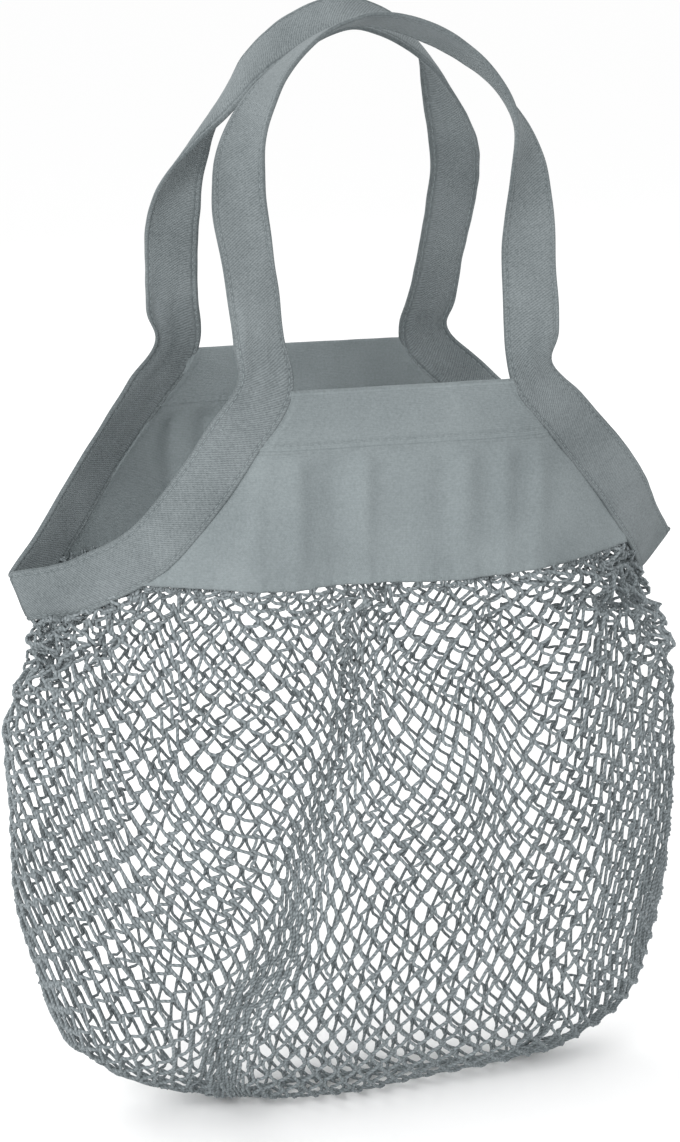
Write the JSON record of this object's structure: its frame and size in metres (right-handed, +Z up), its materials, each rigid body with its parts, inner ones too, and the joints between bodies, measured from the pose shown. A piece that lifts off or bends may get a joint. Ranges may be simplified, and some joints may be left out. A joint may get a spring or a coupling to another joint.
{
  "type": "string shopping bag",
  "caption": "Cotton net shopping bag with cloth panels at the mouth and two long tape handles that run down into the side corners, hanging open.",
  "frame": {"origin": "the hang point, under the top of the two handle arches, where a hand or a hook holds the bag", "axes": "+Z up, X along the bag's mouth from its left corner to its right corner, front towards -Y"},
  "size_m": [0.3393, 0.1578, 0.5265],
  "materials": {
    "panel_cloth": "fine plain-woven cotton, grey",
    "handle_tape": "folded twill cotton tape, grey",
    "net_string": "soft knitted cotton string net, grey"
  },
  "bodies": {
    "root": {"front_panel": "panel_cloth", "back_panel": "panel_cloth", "front_handle": "handle_tape", "back_handle": "handle_tape", "net_bag": "net_string"}
  },
  "joints": []
}
